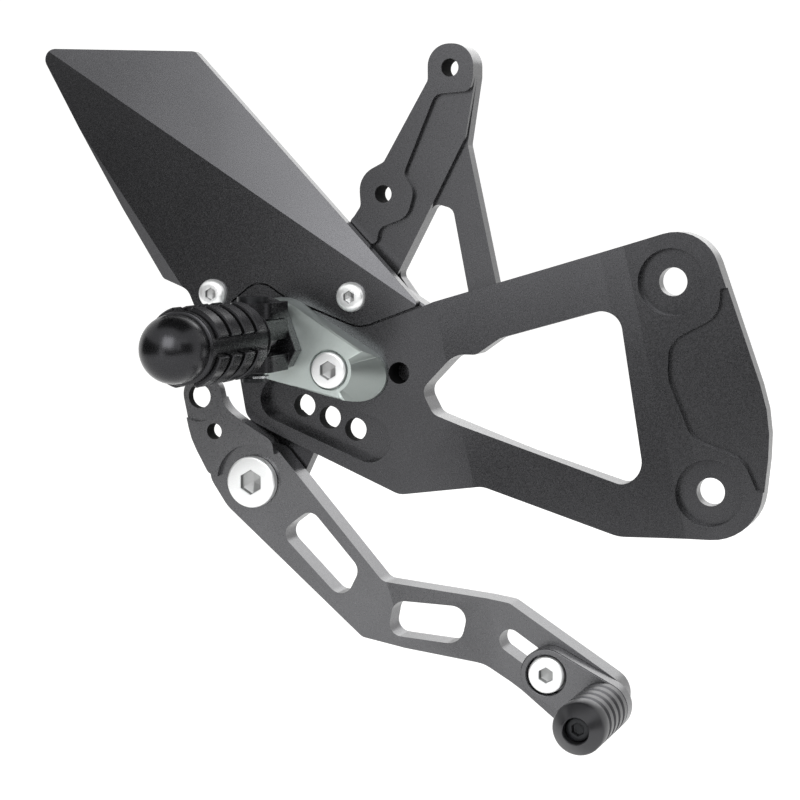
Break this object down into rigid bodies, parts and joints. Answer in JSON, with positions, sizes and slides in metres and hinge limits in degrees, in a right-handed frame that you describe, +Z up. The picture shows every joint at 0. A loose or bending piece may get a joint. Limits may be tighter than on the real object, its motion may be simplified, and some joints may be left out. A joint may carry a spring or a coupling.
{
  "type": "rear-set footrest assembly",
  "caption": "Machined motorcycle rear-set for the brake side: side plate with folding footpeg on an adapter, faceted heel guard, cylinder bracket and brake lever with adjustable toe peg.",
  "frame": {"origin": "centre of the upper frame bolt hole, on the inboard face of the side plate's front pad", "axes": "+X forward along the motorcycle, +Z up, +Y inboard; the pegs point outboard along -Y"},
  "size_m": [0.276, 0.1294, 0.25],
  "materials": {
    "plate_black": "satin black anodised, finely bead-blasted",
    "guard_black": "satin black anodised",
    "bracket_black": "satin black anodised",
    "lever_grey": "satin dark grey anodised",
    "adapter_grey": "machined, titanium grey anodised",
    "peg_black": "black anodised, knurled",
    "toe_black": "black anodised, grooved",
    "bolt_steel": "bright stainless steel",
    "pin_steel": "ground steel"
  },
  "bodies": {
    "plate": {"side_plate": "plate_black", "heel_guard": "guard_black", "heel_guard_bolts": "bolt_steel", "cylinder_bracket": "bracket_black", "cylinder_bracket_bolts": "bolt_steel", "peg_adapter": "adapter_grey", "adapter_bolt": "bolt_steel", "peg_base": "peg_black", "peg_base_bolt": "bolt_steel", "hinge_pin": "pin_steel", "hinge_pin_clip": "pin_steel", "peg_return_spring": "pin_steel", "lever_pivot_bolt": "bolt_steel", "lever_pivot_nut": "bolt_steel", "pivot_spacer": "pin_steel", "bearing_inner_rings": "pin_steel"},
    "footpeg": {"peg_barrel": "peg_black", "peg_end_cap": "peg_black", "end_cap_screw": "bolt_steel"},
    "brake_lever": {"brake_lever": "lever_grey", "bearing_outer_rings": "pin_steel", "bearing_balls": "pin_steel"},
    "toe_clamp": {"toe_clamp_bolt": "bolt_steel", "toe_clamp_nut": "bolt_steel"},
    "toe_peg": {"toe_carrier": "lever_grey", "toe_peg_sleeve": "toe_black", "toe_peg_bolt": "pin_steel"}
  },
  "joints": [
    {"name": "footpeg_fold", "type": "hinge", "parent": "plate", "child": "footpeg", "pos_m": [-0.14203, -0.0535, -0.01999], "axis": [0, 0, -1], "range_deg": [0, 85], "stiffness_Nm_per_rad": 0.25, "springref_deg": -34.38},
    {"name": "brake_lever_press", "type": "hinge", "parent": "plate", "child": "brake_lever", "pos_m": [-0.153, -0.0235, -0.0756], "axis": [0, 1, 0], "range_deg": [0, 12]},
    {"name": "toe_peg_slide", "type": "slide", "parent": "brake_lever", "child": "toe_clamp", "axis": [0.8387, 0, -0.5446], "range_m": [-0.01, 0.008]},
    {"name": "toe_peg_swivel", "type": "hinge", "parent": "toe_clamp", "child": "toe_peg", "pos_m": [-0.03988, -0.0205, -0.14068], "axis": [0, 1, 0], "range_deg": [-60, 45]}
  ]
}
